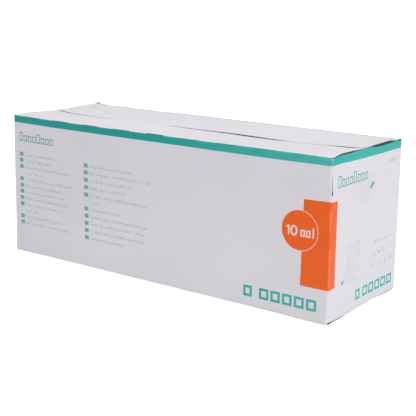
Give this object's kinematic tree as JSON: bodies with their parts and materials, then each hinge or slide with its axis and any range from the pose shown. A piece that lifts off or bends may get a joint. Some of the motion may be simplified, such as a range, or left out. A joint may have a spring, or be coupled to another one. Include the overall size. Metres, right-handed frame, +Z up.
{
  "type": "syringe carton",
  "caption": "Long folding carton of white fluted board for syringes, with two hinged long top flaps, folded-in end flaps and a glued bottom.",
  "frame": {"origin": "centre of the base of the bounding box, on the surface the carton stands on", "axes": "+X along the long side, the printed long panel faces -Y, +Z up"},
  "size_m": [0.39, 0.132, 0.148],
  "materials": {
    "board": "white-lined fluted board, semi-matt print varnish outside, plain kraft inside and at cut edges"
  },
  "bodies": {
    "carton": {"carton": "board"},
    "front_flap": {"front_flap": "board"},
    "back_flap": {"back_flap": "board"}
  },
  "joints": [
    {"name": "front_flap_fold", "type": "hinge", "parent": "carton", "child": "front_flap", "pos_m": [0, -0.066, 0.148], "axis": [1, 0, 0], "range_deg": [0, 250]},
    {"name": "back_flap_fold", "type": "hinge", "parent": "carton", "child": "back_flap", "pos_m": [0, 0.066, 0.148], "axis": [-1, 0, 0], "range_deg": [0, 250]}
  ]
}
